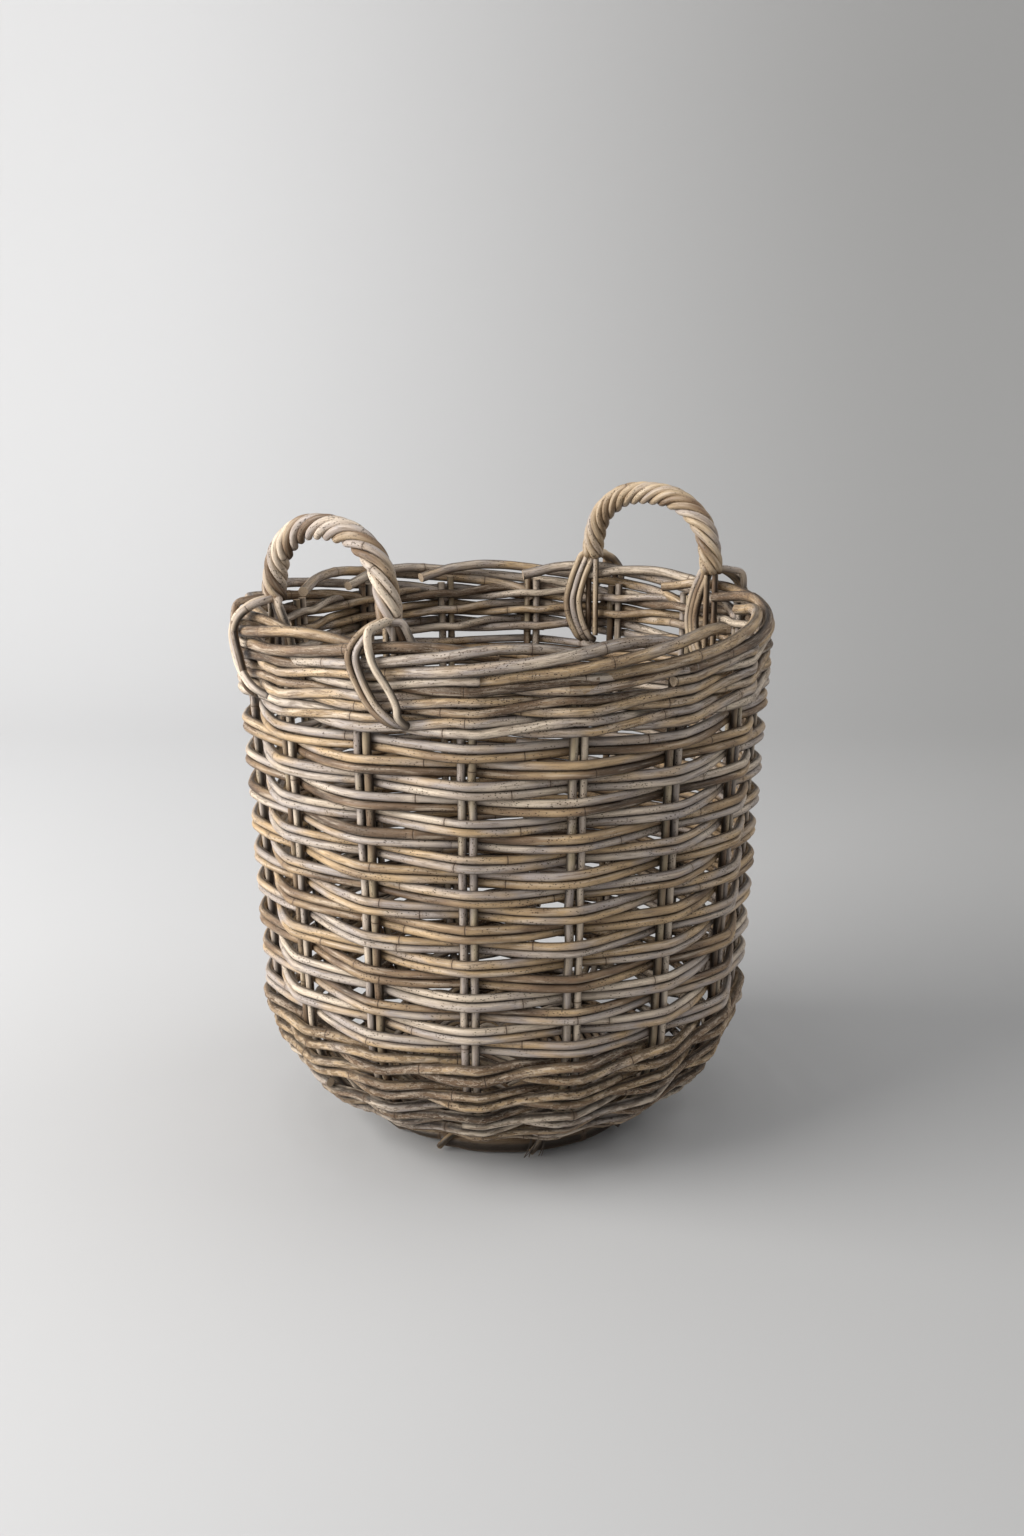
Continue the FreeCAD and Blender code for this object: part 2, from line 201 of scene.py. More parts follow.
class CaneTree:
    """The Geometry Nodes tree that sweeps lines of places into rattan canes."""

    INPUTS = (
        ("Geometry", "NodeSocketGeometry", None),
        ("Segment", "NodeSocketFloat", 0.003),
        ("Sides", "NodeSocketInt", 12),
        ("Internode", "NodeSocketFloat", 0.2),
        ("Knuckle", "NodeSocketFloat", 0.07),
        ("Uneven", "NodeSocketFloat", 0.08),
        ("Wander", "NodeSocketFloat", 0.0004),
        ("Relief", "NodeSocketFloat", 0.0001),
        ("Material", "NodeSocketMaterial", None),
    )

    # How often a cane wanders and how often its thickness changes, to a metre, each with the
    # distance in the noise that lies between two canes whose tones differ by one.
    WANDERS, WANDER_APART = 22.0, 613.0
    CHANGES, CHANGE_APART = 14.0, 991.0
    # Metres that the tone moves the knuckles by, and a knuckle's half length in metres.
    KNUCKLE_APART, KNUCKLE_HALF = 7.7, 0.0035
    # A face is a cut end where it faces along the cane by more than this.
    END_FACING = 0.8
    # Painted shade for the weave's gaps and the canes' undersides: share of facing upwards in how
    # open a place is, so that faces turned down get more painted shade, and how open it is where
    # the painted shade is full and where it is gone.
    UPWARD, DIRTY, CLEAN = 0.22, 0.25, 0.97
    # Bark relief along and across the cane, to a metre, and its shift from cane to cane.
    BARK, BARK_APART = (60.0, 330.0), (37.0, 91.0, 53.0)

    def __init__(self) -> None:
        """Builds the tree once for all the canes."""
        self.group = bpy.data.node_groups.new("rattan_cane", "GeometryNodeTree")
        for name, kind, default in self.INPUTS:
            socket = self.group.interface.new_socket(name, in_out="INPUT", socket_type=kind)
            if default is not None:
                socket.default_value = default
        self.group.interface.new_socket("Geometry", in_out="OUTPUT",
                                        socket_type="NodeSocketGeometry")
        self.build(Tree(self.group))

    def identifier(self, name: str) -> str:
        """Identifier of one of the tree's inputs."""
        found = [item for item in self.group.interface.items_tree
                 if item.item_type == "SOCKET" and item.in_out == "INPUT" and item.name == name]
        return found[0].identifier

    @staticmethod
    def store(tree: Tree, geometry: Value, name: str, value: Value, kind: str = "FLOAT",
              domain: str = "POINT") -> Value:
        """Keeps a value on the geometry, for the tree and the shaders to read.

        Args:
            tree: the tree to build in.
            geometry: what carries the value.
            name: the value's name.
            value: the value.
            kind: its data type.
            domain: where on the geometry it sits.

        Returns:
            The geometry with the value.
        """
        return tree.made("GeometryNodeStoreNamedAttribute",
                         {"Geometry": geometry, "Name": name, "Value": value},
                         data_type=kind, domain=domain)

    @staticmethod
    def read(tree: Tree, name: str, kind: str = "FLOAT") -> Value:
        """Value kept under a name."""
        return tree.made("GeometryNodeInputNamedAttribute", {"Name": name}, data_type=kind)

    @staticmethod
    def noise(tree: Tree, vector: Value, detail: float = 2.0) -> bpy.types.Node:
        """Noise with features one unit wide."""
        return tree.add("ShaderNodeTexNoise", {"Vector": vector, "Scale": 1.0, "Detail": detail})

    def build(self, tree: Tree) -> None:
        """Builds the whole sweep, from the lines to the canes with their material."""
        given = tree.add("NodeGroupInput")
        size = {name: tree.out(given, name) for name, _, _ in self.INPUTS}
        tube = self.tube(tree, self.line(tree, size), size)
        normal = tree.made("GeometryNodeInputNormal")
        heading = self.read(tree, "heading", "FLOAT_VECTOR")
        facing = tree.math("ABSOLUTE", tree.vector("DOT_PRODUCT", normal, heading))
        cut = tree.math("GREATER_THAN", facing, self.END_FACING)
        tube = self.store(tree, tube, "cut_end", cut, domain="FACE")

        # Painted shade: a mask that is full where a face looks along the wall into the gaps of the
        # weave, more so where it faces down, and gone on open faces and above the rim.
        outward = self.read(tree, "outward", "FLOAT_VECTOR")
        across_wall = tree.math("ABSOLUTE", tree.vector("DOT_PRODUCT", normal, outward))
        upward = tree.out(tree.add("ShaderNodeSeparateXYZ", {0: normal}), "Z")
        off_weave = 1.0 - tree.vector("LENGTH", outward)
        open_side = across_wall + upward * self.UPWARD + off_weave
        painted_shade_mask = open_side.step(self.DIRTY, self.CLEAN, 1.0, 0.0)
        tube = self.store(tree, tube, "painted_shade_mask", painted_shade_mask)

        bark_at = self.read(tree, "cane_space", "FLOAT_VECTOR").stretched(*self.BARK)
        bark_at = bark_at.shifted(self.read(tree, "tone"), self.BARK_APART)
        rough = tree.out(self.noise(tree, bark_at, 3.0), "Fac") - 0.5
        lift = tree.vector("SCALE", normal, rough * size["Relief"] * 2.0)
        tube = tree.made("GeometryNodeSetPosition", {"Geometry": tube, "Offset": lift})
        tube = tree.made("GeometryNodeSetShadeSmooth", {"Geometry": tube})
        tube = tree.made("GeometryNodeRealizeInstances", {"Geometry": tube})
        tube = tree.made("GeometryNodeSetMaterial",
                         {"Geometry": tube, "Material": size["Material"]})
        tree.add("NodeGroupOutput", {"Geometry": tube})

    def line(self, tree: Tree, size: dict[str, Value]) -> Value:
        """Smooth line of each cane, with its wander, its thickness and its knuckles.

        Args:
            tree: the tree to build in.
            size: the tree's inputs by name.

        Returns:
            Curves that carry what the sweep and the shaders read.
        """
        line = tree.made("GeometryNodeMeshToCurve", {"Mesh": size["Geometry"]})
        line = tree.made("GeometryNodeCurveSplineType", {"Curve": line}, spline_type="CATMULL_ROM")
        line = tree.made("GeometryNodeResampleCurve", {"Curve": line, "Length": size["Segment"]},
                         mode="LENGTH")
        along = tree.out(tree.add("GeometryNodeSplineParameter"), "Length")
        tone = self.read(tree, "tone")
        drift = tree.made("ShaderNodeCombineXYZ",
                          {0: along * self.WANDERS, 1: tone * self.WANDER_APART})
        wander = tree.out(self.noise(tree, drift), "Color")
        centred = tree.vector("SUBTRACT", wander, (0.5, 0.5, 0.5))
        offset = tree.vector("SCALE", centred, size["Wander"] * 4.0)
        line = tree.made("GeometryNodeSetPosition", {"Geometry": line, "Offset": offset})

        turns = (along + tone * self.KNUCKLE_APART) / size["Internode"]
        knuckle_gap = (tree.math("FRACT", turns) - 0.5) * size["Internode"]
        bulge = knuckle_gap / self.KNUCKLE_HALF
        swell = tree.math("EXPONENT", 0.0 - bulge * bulge) * size["Knuckle"]
        slow = tree.made("ShaderNodeCombineXYZ",
                         {0: along * self.CHANGES, 1: tone * self.CHANGE_APART})
        uneven = (tree.out(self.noise(tree, slow), "Fac") - 0.5) * size["Uneven"] * 2.0
        radius = self.read(tree, "cane_radius") * (1.0 + swell + uneven)
        kept = {"along": along, "joints_passed": turns, "internode": size["Internode"],
                "swept_radius": radius}
        for name, value in kept.items():
            line = self.store(tree, line, name, value)
        tangent = tree.made("GeometryNodeInputTangent")
        return self.store(tree, line, "heading", tangent, "FLOAT_VECTOR")

    def tube(self, tree: Tree, line: Value, size: dict[str, Value]) -> Value:
        """Closed tube swept along each line.

        Args:
            tree: the tree to build in.
            line: the canes' lines.
            size: the tree's inputs by name.

        Returns:
            A mesh with coordinates that run along and across each cane.
        """
        ring = tree.made("GeometryNodeCurvePrimitiveCircle",
                         {"Resolution": size["Sides"], "Radius": 1.0}, mode="RADIUS")
        ring_place = tree.made("GeometryNodeInputPosition")
        ring = self.store(tree, ring, "ring_place", ring_place, "FLOAT_VECTOR")
        wide = self.read(tree, "swept_radius")
        tube = tree.made("GeometryNodeCurveToMesh", {"Curve": line, "Profile Curve": ring,
                                                     "Scale": wide, "Fill Caps": True})
        around = tree.add("ShaderNodeSeparateXYZ",
                          {0: self.read(tree, "ring_place", "FLOAT_VECTOR")})
        space = tree.made("ShaderNodeCombineXYZ",
                          {0: self.read(tree, "along"), 1: tree.out(around, "X") * wide,
                           2: tree.out(around, "Y") * wide})
        return self.store(tree, tube, "cane_space", space, "FLOAT_VECTOR")


# --------------------------------------------------------------------------- finishes


@dataclass(frozen=True)
class CaneFinish:
    """Weathered rattan: the skin's colours, its bark, its dirt, painted shade and its sheen."""

    name: str
    deep: Colour = (0.06, 0.036, 0.02)
    brown: Colour = (0.2, 0.125, 0.072)
    gold: Colour = (0.57, 0.395, 0.215)
    silver: Colour = (0.41, 0.355, 0.325)
    pale: Colour = (0.71, 0.59, 0.455)
    # Colour of the painted shade in the gaps of the weave and under the canes.
    crevice_shade_colour: Colour = (0.012, 0.007, 0.004)
    flakes: tuple[float, float] = (60.0, 700.0)
    bark: float = 0.25
    bloom: float = 0.5
    # How strongly the painted shade darkens the gaps of the weave and the canes' undersides.
    painted_shade_strength: float = 0.92
    roughness: float = 0.5
    bump: float = 0.00025

    # Each noise: how often it changes to a metre along the cane and across it, its detail and
    # its roughness.
    NOISES = {"patch": (14.0, 50.0, 2.0, 0.6), "fibre": (40.0, 1500.0, 3.0, 0.65),
              "streak": (22.0, 420.0, 2.0, 0.6), "grain": (900.0, 1300.0, 2.0, 0.7),
              "cluster": (34.0, 110.0, 3.0, 0.6), "dust": (30.0, 330.0, 3.0, 0.6),
              "pores": (1.0, 2600.0, 1.0, 0.6)}
    # Pits along and across the cane, to a metre, and how far the tone shifts all the patterns.
    PITS, APART = (390.0, 620.0), (3.1, 5.3, 2.7)
    # Places of the skin's colours on its ramp, from the deepest to the palest.
    STOPS = (0.0, 0.16, 0.42, 0.62, 0.85)
    # Metres from a knuckle's middle over which its dark line and its brown collar fade.
    JOINT, COLLAR = (0.0002, 0.0007), (0.0008, 0.004)
    # Pith of a cut end, and its pores.
    PITH = ((0.6, 0.47, 0.33), (0.3, 0.2, 0.13))

    @staticmethod
    def attribute(tree: Tree, name: str, output: str) -> Value:
        """Value that the cane's mesh carries."""
        return tree.out(tree.add("ShaderNodeAttribute", attribute_name=name), output)

    @staticmethod
    def noise(tree: Tree, place: Value, detail: float, roughness: float) -> Value:
        """Noise with features one unit wide."""
        return tree.made("ShaderNodeTexNoise", {"Vector": place, "Scale": 1.0, "Detail": detail,
                                                "Roughness": roughness})

    @staticmethod
    def mixed(tree: Tree, share: Value, *colours: Value | Colour) -> Value:
        """Two colours mixed by a share.

        Args:
            tree: the tree to build in.
            share: how much of the second colour shows.
            colours: the two colours.

        Returns:
            The mix.
        """
        first, second = (colour if isinstance(colour, Value) else (*colour, 1.0)
                         for colour in colours)
        node = tree.add("ShaderNodeMix", {0: share, 6: first, 7: second}, data_type="RGBA")
        return Value(tree, node.outputs[2])

    def material(self) -> bpy.types.Material:
        """Builds the shader.

        Returns:
            The material, which reads the attributes that the canes carry.
        """
        made = bpy.data.materials.new(self.name)
        made.use_nodes = True
        made.node_tree.nodes.clear()
        tree = Tree(made.node_tree)
        tone = self.attribute(tree, "tone", "Fac")
        joints = self.attribute(tree, "joints_passed", "Fac")
        gap = (tree.math("FRACT", joints) - 0.5) * self.attribute(tree, "internode", "Fac")
        away = tree.math("ABSOLUTE", gap)
        cut = self.attribute(tree, "cut_end", "Fac")
        space = self.attribute(tree, "cane_space", "Vector")
        space = space.shifted(tone, self.APART)
        # Mask of the painted shade, full in the gaps of the weave and on faces turned down.
        painted_shade_mask = self.attribute(tree, "painted_shade_mask", "Fac")

        noise = {name: self.noise(tree, space.stretched(along, across), detail, roughness)
                 for name, (along, across, detail, roughness) in self.NOISES.items()}
        flake = self.noise(tree, space.stretched(*self.flakes), 4.0, 0.7)
        cells = tree.made("ShaderNodeTexVoronoi", {"Vector": space.stretched(*self.PITS),
                                                   "Scale": 1.0})
        grain, fibre = noise["grain"], noise["fibre"]
        edge = 0.62 - 0.25 * self.bark
        barked = flake.step(edge, edge + 0.03)
        crust = flake.step(edge - 0.05, edge) - barked
        bark_tone = self.mixed(tree, grain.step(0.35, 0.7), self.deep, self.brown)
        speck = grain.step(0.64, 0.71)
        pit = cells.step(0.2, 0.32, 1.0, 0.0) * noise["cluster"].step(0.47, 0.57)
        joint = away.step(*self.JOINT, 1.0, 0.0)
        pith = self.mixed(tree, noise["pores"].step(0.5, 0.62), *self.PITH)

        place = tone * 0.8 + (noise["patch"] - 0.5) * 1.1 + 0.09
        colours = (self.deep, self.brown, self.gold, self.silver, self.pale)
        skin = tree.made("ShaderNodeValToRGB", {0: place}, stops=tuple(zip(self.STOPS, colours)))
        layers = ((noise["streak"].step(0.45, 0.66) * 0.35, self.brown),
                  (noise["dust"].step(0.5, 0.7) * self.bloom, self.pale),
                  (barked * (0.25 + 0.6 * self.bark), bark_tone),
                  (crust * self.bark, self.pale),
                  (fibre.step(0.45, 0.72) * 0.38, self.brown),
                  (speck * 0.7, self.deep),
                  (pit * 0.9, self.deep),
                  # Painted shade: near black in the gaps of the weave and under the canes.
                  (painted_shade_mask * self.painted_shade_strength, self.crevice_shade_colour),
                  (away.step(*self.COLLAR, 1.0, 0.0) * 0.3, self.brown),
                  (joint * 0.8, self.deep),
                  (cut, pith))
        for share, colour in layers:
            skin = self.mixed(tree, share, skin, colour)

        dull = self.roughness + (flake - 0.5) * 0.4 + barked * 0.15 + (speck + pit) * 0.2
        height = fibre * 0.35 + grain * 0.3 + barked * 0.6 - joint * 1.2 - speck * 0.4 - pit
        bump = tree.made("ShaderNodeBump", {"Height": height, "Distance": self.bump,
                                            "Strength": 1.0})
        shader = tree.made("ShaderNodeBsdfPrincipled",
                           {"Base Color": skin, "Roughness": dull, "Normal": bump,
                            "Specular IOR Level": 0.42})
        tree.add("ShaderNodeOutputMaterial", {"Surface": shader})
        return made


class Finish(Enum):
    """The basket's cane finishes."""

    STAKE = CaneFinish("stake_rattan", gold=(0.5, 0.41, 0.27), bark=0.05, bloom=0.35)
    SIDE = CaneFinish("side_rattan", bark=0.15)
    BARK = CaneFinish("bark_rattan", flakes=(80.0, 260.0), bark=0.5, bloom=0.6,
                      roughness=0.6, bump=0.0005)
    RIM = CaneFinish("rim_rattan", bark=0.35, bloom=0.65)
    BASE = CaneFinish("base_rattan", bark=0.3, bloom=0.3)
    HOOP = CaneFinish("hoop_rattan", gold=(0.26, 0.175, 0.1), silver=(0.29, 0.21, 0.14),
                      pale=(0.36, 0.28, 0.2), bark=0.3, bloom=0.3)
    LASHING = CaneFinish("lashing_rattan", bark=0.1)
    HANDLE = CaneFinish("handle_rattan", gold=(0.56, 0.43, 0.28), bark=0.1, bloom=0.45,
                        roughness=0.46)


# ------------------------------------------------------------------------------ canes


@dataclass
class Cane:
    """One cane: the places it passes, in millimetres, its thickness there and its own tone."""

    places: np.ndarray
    radius: float | np.ndarray
    tone: float


@dataclass
class Growth:
    """How natural the canes of one piece are. Lengths are millimetres."""

    segment: float = 3.0
    sides: int = 12
    internode: float = 250.0
    knuckle: float = 0.07
    uneven: float = 0.07
    wander: float = 0.35
    relief: float = 0.06


class CaneMaker:
    """Turns lists of canes into finished pieces."""

    def __init__(self, wall: "Wall") -> None:
        """Builds the sweep tree and the materials."""
        self.wall = wall
        self.tree = CaneTree()
        self.materials = {finish: finish.value.material() for finish in Finish}

    def host(self, name: str, canes: list[Cane]) -> bpy.types.Object:
        """Lines of the canes, with their thickness, tone and outward side at each place.

        Args:
            name: the object's name.
            canes: the canes.

        Returns:
            An object whose mesh has points and edges only.
        """
        points, edges, radii, tones = [], [], [], []
        for cane in canes:
            start = len(points)
            points.extend((np.asarray(cane.places, float) * MM).tolist())
            edges.extend((start + step, start + step + 1) for step in range(len(cane.places) - 1))
            radii.extend(np.broadcast_to(np.asarray(cane.radius, float) * MM, len(cane.places)))
            tones.extend([cane.tone] * len(cane.places))
        mesh = bpy.data.meshes.new(name + "_lines")
        mesh.from_pydata(points, edges, [])
        for attribute, numbers in (("cane_radius", radii), ("tone", tones)):
            layer = mesh.attributes.new(attribute, "FLOAT", "POINT")
            layer.data.foreach_set("value", np.asarray(numbers, np.float32))
        layer = mesh.attributes.new("outward", "FLOAT_VECTOR", "POINT")
        layer.data.foreach_set("vector", self.wall.outward(np.array(points) / MM).ravel())
        host = bpy.data.objects.new(name, mesh)
        bpy.context.scene.collection.objects.link(host)
        return host

    def piece(self, name: str, canes: list[Cane], finish: Finish, growth: Growth,
              nodes: list[str]) -> bpy.types.Object:
        """Sweeps the canes and puts the finished piece in place of its CAD nodes.

        Args:
            name: the piece's name.
            canes: its canes.
            finish: the rattan's finish.
            growth: how uneven the canes are.
            nodes: the CAD nodes that it stands for.

        Returns:
            The finished mesh object.
        """
        host = self.host(name, canes)
        modifier = host.modifiers.new("cane", "NODES")
        modifier.node_group = self.tree.group
        sizes = {"Segment": growth.segment * MM, "Sides": growth.sides,
                 "Internode": growth.internode * MM, "Knuckle": growth.knuckle,
                 "Uneven": growth.uneven, "Wander": growth.wander * MM,
                 "Relief": growth.relief * MM, "Material": self.materials[finish]}
        for label, amount in sizes.items():
            modifier[self.tree.identifier(label)] = amount
        graph = bpy.context.evaluated_depsgraph_get()
        mesh = bpy.data.meshes.new_from_object(host.evaluated_get(graph))
        lines = host.data
        host.modifiers.clear()
        host.data = mesh
        bpy.data.meshes.remove(lines)
        mesh.name = name
        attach(host, BODY)
        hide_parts(*nodes)
        mesh.calc_loop_triangles()
        LOG.info("%s: %d canes, %d triangles", name, len(canes), len(mesh.loop_triangles))
        return host


# ------------------------------------------------------------------------------ shape


@dataclass
class Wall:
    """The line of the stakes: flat base, elliptical bend and nearly straight wall."""

    pairs: int = 16
    phase: float = -5.6
    base_radius: float = 114.0
    base_height: float = 34.4
    foot_radius: float = 208.0
    foot_height: float = 146.0
    shoulder_radius: float = 218.8
    shoulder_height: float = 390.0
    rim_radius: float = 220.5
    rim_height: float = 464.9
    border_rise: float = 13.0

    @property
    def step(self) -> float:
        """Angle from one stake pair to the next."""
        return 360.0 / self.pairs

    def angle(self, index: float) -> float:
        """Angle of a stake pair. Pair 0 is the nearest to the +X handle's middle."""
        return self.phase + self.step * index

    def radius(self, height: float) -> float:
        """Radius of the stake circle.

        Args:
            height: height above the floor.

        Returns:
            The radius there.
        """
        heights = (self.foot_height, self.shoulder_height, self.rim_height)
        radii = (self.foot_radius, self.shoulder_radius, self.rim_radius)
        if height < heights[0]:
            share = min(1.0, (heights[0] - height) / (heights[0] - self.base_height))
            wide = self.foot_radius - self.base_radius
            return self.base_radius + wide * math.sqrt(1.0 - share * share)
        return float(np.interp(height, heights, radii))

    def outward(self, places: np.ndarray) -> np.ndarray:
        """Direction out of the weave.

        Args:
            places: places near the wall, one to a row.

        Returns:
            A unit vector for each place, or zero where it is clear above the rim.
        """
        flat = np.hypot(places[:, 0], places[:, 1]) + 1e-6
        wide = self.foot_radius - self.base_radius
        high = self.foot_height - self.base_height
        radial = np.maximum(flat - self.base_radius, 0.0) / wide ** 2
        down = np.maximum(self.foot_height - places[:, 2], 0.0) / high ** 2
        found = np.c_[places[:, :2] / flat[:, None] * radial[:, None], -down]
        found /= np.maximum(np.linalg.norm(found, axis=1), 1e-9)[:, None]
        found[places[:, 2] > self.rim_height + self.border_rise] = 0.0
        return found.astype(np.float32)

    def bend(self, degrees: float) -> tuple[float, float, float, float]:
        """Place on the bend from the wall (0) to the base (90).

        Args:
            degrees: how far round the bend.

        Returns:
            Radius, height, and the outward direction's radial and vertical shares.
        """
        turn = math.radians(degrees)
        wide = self.foot_radius - self.base_radius
        high = self.foot_height - self.base_height
        out = Vector((math.cos(turn) / wide, -math.sin(turn) / high)).normalized()
        return (self.base_radius + wide * math.cos(turn),
                self.foot_height - high * math.sin(turn), out.x, out.y)


def polar(radius: float, degrees: float, height: float, sideways: float = 0.0) -> Place:
    """Point at a radius, an angle and a height, moved sideways along the circle.

    Args:
        radius: distance from the basket's axis.
        degrees: angle from the +X axis.
        height: height above the floor.
        sideways: distance along the circle.

    Returns:
        The point.
    """
    turn = math.radians(degrees)
    return (radius * math.cos(turn) - sideways * math.sin(turn),
            radius * math.sin(turn) + sideways * math.cos(turn), height)


# How sharp the turns of the side weave are: 1 would fold the cane.
PEAK = 0.985


def swing(share: float) -> float:
    """Wave from 1 at a stake to -1 at the next, with straight flanks and rounded turns."""
    return math.asin(PEAK * math.cos(math.pi * share)) / math.asin(PEAK)


def undulation(degrees: float, height: float) -> float:
    """Slow rise and fall of the rows round the wall, shared by neighbouring rows.

    Args:
        degrees: angle from the +X axis.
        height: height of the row.

    Returns:
        How much higher the row is there.
    """
    turn = math.radians(degrees)
    return (1.1 * math.sin(2 * turn + 0.011 * height + 0.6)
            + 0.7 * math.sin(5 * turn - 0.017 * height + 2.1)
            + 0.5 * math.sin(9 * turn + 0.02 * height))


# ------------------------------------------------------------------------ sub-assemblies


@dataclass
class Stakes:
    """Eight pairs of long stakes that cross under the base and rise through the wall."""

    wall: Wall
    radius: float = 3.5
    spacing: float = 8.4
    slath_half: float = 34.0
    slath_spacing: float = 8.2
    slath_layer: float = 3.6
    fan_radius: float = 60.0
    bend_steps: int = 10
    cut_heights: tuple[float, float] = (447.0, 455.0)
    seed: int = 11

    def half(self, index: float, side: int, cut: float, rng: np.random.Generator) -> list[Place]:
        """Places of one stake from the edge of the fanned base up to its cut end.

        Args:
            index: place in the ring, in stake steps.
            side: which stake of the pair, -1 or 1.
            cut: height of its end.
            rng: the piece's random draws.

        Returns:
            The places, from the base upwards.
        """
        wall = self.wall
        angle = wall.angle(index)
        sideways = side * self.spacing / 2
        places = [polar(self.fan_radius, angle, wall.base_height, sideways)]
        for step in range(self.bend_steps + 1):
            radius, height, _, _ = wall.bend(90.0 * (1 - step / self.bend_steps))
            places.append(polar(radius, angle, height, sideways))
        for height in np.linspace(wall.foot_height, cut, 12)[1:]:
            lean = rng.normal(0, 0.35)
            places.append(polar(wall.radius(height), angle, height, sideways + lean))
        return places

    def stake(self, line: int, side: int, quarter: int, rng: np.random.Generator) -> Cane:
        """One long stake, from rim to rim.

        Args:
            line: which of the four pairs that cross the base together, -2, -1, 1 or 2.
            side: which stake of the pair, -1 or 1.
            quarter: which way it crosses the base.
            rng: the piece's random draws.

        Returns:
            The stake.
        """
        sign = 1 if line > 0 else -1
        layer = 1 if quarter else -1
        place = sign * self.slath_spacing * (2 * abs(line) - 1) + side * self.slath_spacing / 2
        turn = math.radians(quarter * 90.0 + self.wall.angle(0.5))
        near = quarter * 4 + 0.5 + sign * (abs(line) - 0.5)
        far = quarter * 4 + 8.5 - sign * (abs(line) - 0.5)
        cuts = [cut + rng.uniform(-4, 4) for cut in self.cut_heights]
        middle = []
        for along in (-self.slath_half, 0.0, self.slath_half):
            middle.append((along * math.cos(turn) - place * math.sin(turn),
                           along * math.sin(turn) + place * math.cos(turn),
                           self.wall.base_height + layer * self.slath_layer))
        places = list(reversed(self.half(far, -side, cuts[0], rng)))
        places += middle + self.half(near, side, cuts[1], rng)
        return Cane(np.array(places), self.radius + rng.uniform(-0.25, 0.25), rng.random())

    def make(self, maker: CaneMaker) -> None:
        """Makes one piece for each long pair.

        Args:
            maker: sweeps and dresses the canes.
        """
        rng = np.random.default_rng(self.seed)
        number = 0
        for quarter in (0, 1):
            for line in (-2, -1, 1, 2):
                number += 1
                canes = [self.stake(line, side, quarter, rng) for side in (-1, 1)]
                maker.piece("stake_canes_%d" % number, canes, Finish.STAKE, Growth(wander=0.3),
                            ["stake_pair_%02d" % number])


@dataclass
class SideWeave:
    """Rows of paired cane, in front of one stake pair and behind the next."""

    wall: Wall
    rows: int = 18
    pitch: float = 14.615
    top: float = 389.5
    offset: float = 7.7
    radius: float = 3.6
    steps: int = 12
    tail: float = 0.16
    seed: int = 23

    def cane(self, row: int, side: int, radius: float, gap: float, first: int,
             rng: np.random.Generator) -> Cane:
        """One weaver, once round the wall, with its ends lapped inside behind a stake.

        Args:
            row: its row, from the top.
            side: 1 for the upper cane of the row, -1 for the lower.
            radius: its radius.
            gap: half the distance between the row's two canes.
            first: the stake pair that it starts at.
            rng: the piece's random draws.

        Returns:
            The weaver.
        """
        middle = self.top - row * self.pitch
        slack = rng.uniform(0.94, 1.08)
        places = []
        spots = np.linspace(-self.tail, self.wall.pairs + self.tail,
                            self.wall.pairs * self.steps + 3)
        for spot in spots:
            index = first + spot
            angle = self.wall.angle(index)
            out = -swing(index - first)
            height = middle + side * gap * (1.0 + 0.05 * out) + undulation(angle, middle)
            lap = self.radius * 1.7 * max(0.0, spot - self.wall.pairs + self.tail) / self.tail
            radius_here = self.wall.radius(height) + out * self.offset * slack - min(lap, 6.0)
            places.append(polar(radius_here, angle, height))
        return Cane(np.array(places), radius, rng.random())

    def make(self, maker: CaneMaker) -> None:
        """Makes one piece for each row.

        Args:
            maker: sweeps and dresses the canes.
        """
        rng = np.random.default_rng(self.seed)
        for row in range(self.rows):
            radii = np.clip(rng.normal(self.radius, 0.28, 2), 3.1, 4.15)
            gap = radii.sum() / 2
            start = 2 * int(rng.integers(0, 8)) + (row + 1) % 2
            canes = [self.cane(row, side, radii[place], gap, start + 2 * place, rng)
                     for place, side in enumerate((1, -1))]
            maker.piece("side_row_%02d" % (row + 1), canes, Finish.SIDE, Growth(),
                        ["side_weave_row_%02d" % (row + 1)])


@dataclass
class Wale:
    """One three-rod wale row: each rod in front of two stake pairs and behind the third.

    The row's middle is a radius and a height, and its way out has a radial and a vertical share.
    """

    wall: Wall
    middle: tuple[float, float]
    out: tuple[float, float]
    offset: float
    spread: float
    radius: float
    first: int

    # Shares of the offset and the spread at the two pairs in front and the one behind, and
    # halfway to the pair that follows each of them.
    TURNS = ((1.0, -1.0), (0.62, 0.0), (1.0, 1.0), (0.0, 1.0), (-1.0, 0.0), (0.0, -1.0))
    # Half the width of a bulge over a stake pair, in stake steps, and its flatness.
    BULGE = 0.13
    FLAT = 0.95

    def rods(self, rng: np.random.Generator) -> list[Cane]:
        """The three rods of the row.

        Args:
            rng: the piece's random draws.

        Returns:
            The rods.
        """
        rods = []
        up = (-self.out[1], self.out[0])
        for strand in range(3):
            slack = rng.uniform(0.95, 1.08)
            places = []
            for half in range(2 * self.wall.pairs + 1):
                out, rise = self.TURNS[half % 6]
                rise = rise * self.spread + rng.normal(0, 0.3)
                out = out * self.offset * slack + rng.normal(0, 0.2)
                spots = (0.0,) if half % 2 else (-self.BULGE, 0.0, self.BULGE)
                for spot in spots:
                    angle = self.wall.angle(self.first + strand + half / 2 + spot)
                    here = out * (self.FLAT if spot else 1.0)
                    radius = self.middle[0] + here * self.out[0] + rise * up[0]
                    height = self.middle[1] + here * self.out[1] + rise * up[1]
                    wave = undulation(angle, height) * 0.5
                    places.append(polar(radius, angle, height + wave))
            rods.append(Cane(np.array(places), self.radius + rng.uniform(-0.3, 0.3),
                             rng.random()))
        return rods


